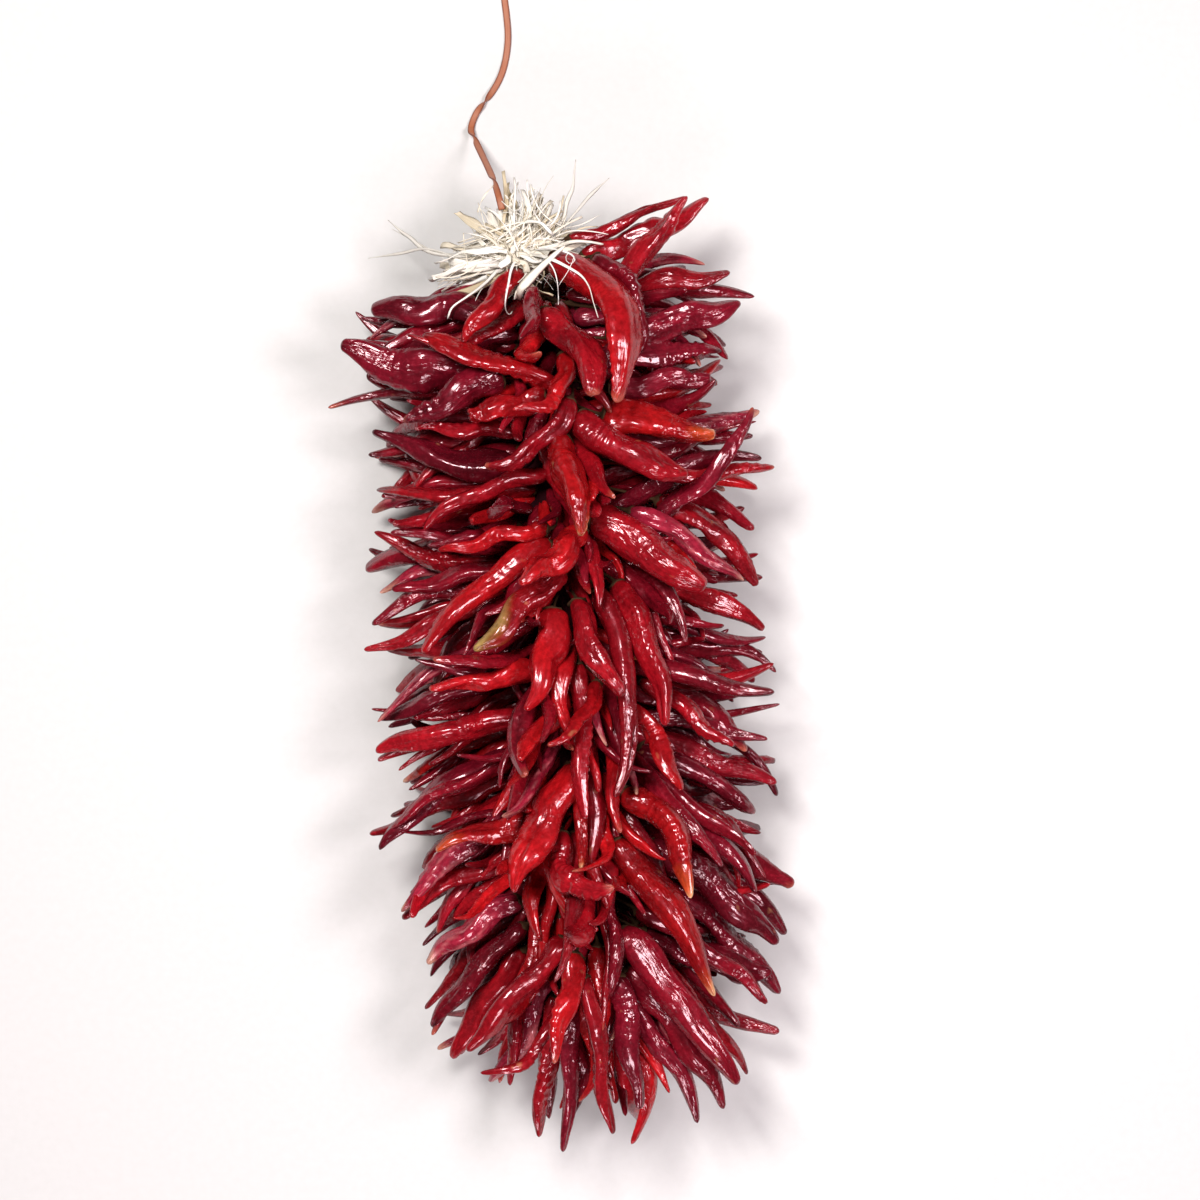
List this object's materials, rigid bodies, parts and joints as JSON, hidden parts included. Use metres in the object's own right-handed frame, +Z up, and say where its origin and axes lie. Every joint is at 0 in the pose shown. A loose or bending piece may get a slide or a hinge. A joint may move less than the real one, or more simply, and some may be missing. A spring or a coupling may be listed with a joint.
{
  "type": "string of dried chillies",
  "caption": "String of dried red chillies lying on its back, pods standing out all round it, the top tied with torn corn husk and hung on an orange twine with a loop.",
  "frame": {"origin": "middle of the flat underside that the string of chillies rests on", "axes": "+Y from the foot of the string towards the husk tie and the twine, +Z up from the table towards the shown side, +X to the right of the shown side"},
  "size_m": [0.3716, 1.008, 0.2054],
  "materials": {
    "dried_chilli_skin": "glossy, wrinkled, leathery dried skin, from scarlet to deep crimson",
    "corn_husk": "dry, matt, fibrous torn husk, cream to straw",
    "orange_twine": "faded orange woven flat twine, slightly satin"
  },
  "bodies": {
    "root": {"chillies": "dried_chilli_skin", "husk_tie": "corn_husk", "hanging_twine": "orange_twine", "twine_loop": "orange_twine"}
  },
  "joints": []
}
